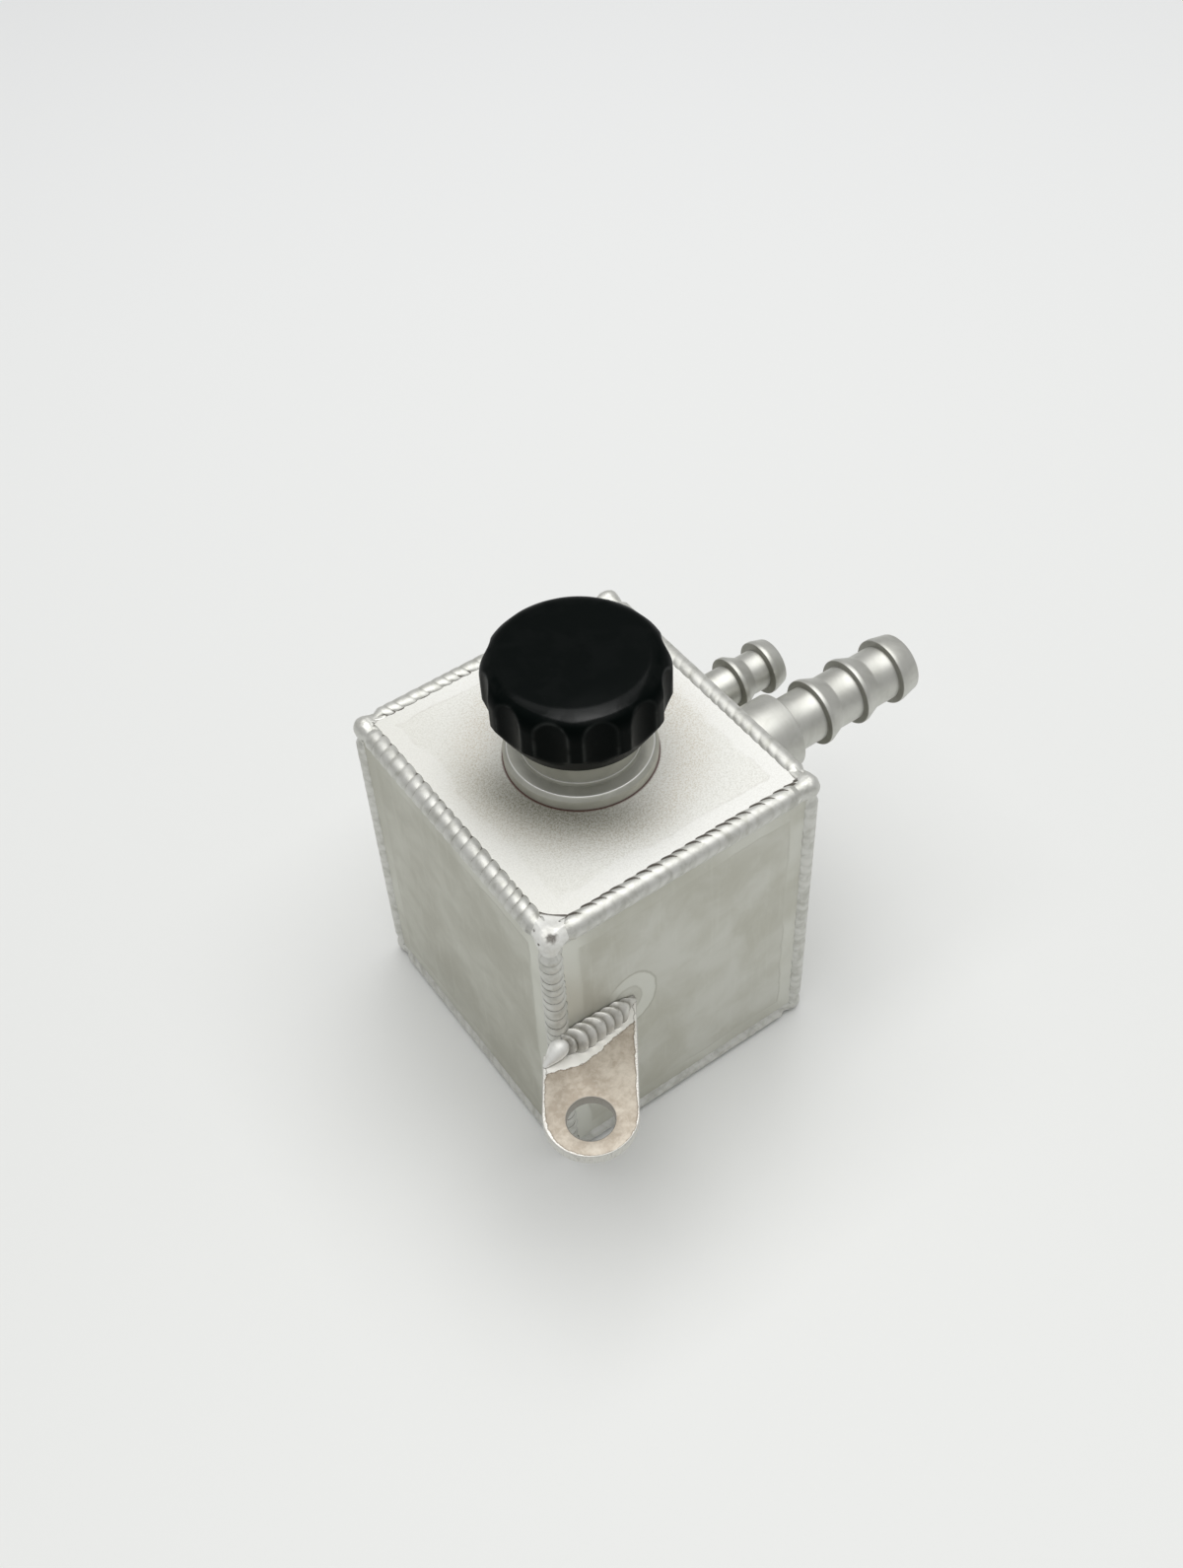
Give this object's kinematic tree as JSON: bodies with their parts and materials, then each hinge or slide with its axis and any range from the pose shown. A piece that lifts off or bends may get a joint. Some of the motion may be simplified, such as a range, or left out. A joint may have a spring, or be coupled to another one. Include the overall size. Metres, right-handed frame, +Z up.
{
  "type": "power steering reservoir",
  "caption": "Small welded aluminium fluid tank for power steering, with a black fluted screw cap, side hose barbs and a skewed mounting tab.",
  "frame": {"origin": "centre of the base sheet's outer face, which the seam beads round it stand 0.8 mm proud of", "axes": "+Z up through the filler neck, +X along the hose barbs away from the tank, -Y out of the face that carries the mounting tab"},
  "size_m": [0.1208, 0.0942, 0.1035],
  "materials": {
    "sheet": "satin sheet, cleaned after welding",
    "weld_bead": "bright rippled weld metal",
    "turned_metal": "fine turned",
    "blasted_metal": "turned and blasted satin",
    "tab_metal": "mill finish with cut edges",
    "cap_plastic": "turned satin black",
    "seal_rubber": "dull"
  },
  "bodies": {
    "tank": {"top_plate": "sheet", "base_plate": "sheet", "front_plate": "sheet", "back_plate": "sheet", "left_plate": "sheet", "right_plate": "sheet", "top_front_weld": "weld_bead", "top_back_weld": "weld_bead", "top_left_weld": "weld_bead", "top_right_weld": "weld_bead", "base_front_weld": "weld_bead", "base_back_weld": "weld_bead", "base_left_weld": "weld_bead", "base_right_weld": "weld_bead", "front_left_weld": "weld_bead", "front_right_weld": "weld_bead", "back_left_weld": "weld_bead", "back_right_weld": "weld_bead", "neck_weld": "weld_bead", "feed_barb_weld": "weld_bead", "return_barb_weld": "weld_bead", "tab_weld": "weld_bead", "filler_neck": "turned_metal", "feed_barb": "blasted_metal", "return_barb": "blasted_metal", "mount_tab": "tab_metal"},
    "seal": {"cap_seal": "seal_rubber"},
    "cap": {"cap": "cap_plastic"}
  },
  "joints": [
    {"name": "cap_lift", "type": "slide", "parent": "tank", "child": "seal", "axis": [0, 0, 1], "range_m": [0, 0.009]},
    {"name": "cap_turn", "type": "hinge", "parent": "seal", "child": "cap", "pos_m": [0, 0, 0.09], "axis": [0, 0, 1], "range_deg": [0, 1080]}
  ],
  "couplings": [
    {"joint": "cap_lift", "follows": "cap_turn", "m_per_rad": 0.00047746}
  ]
}
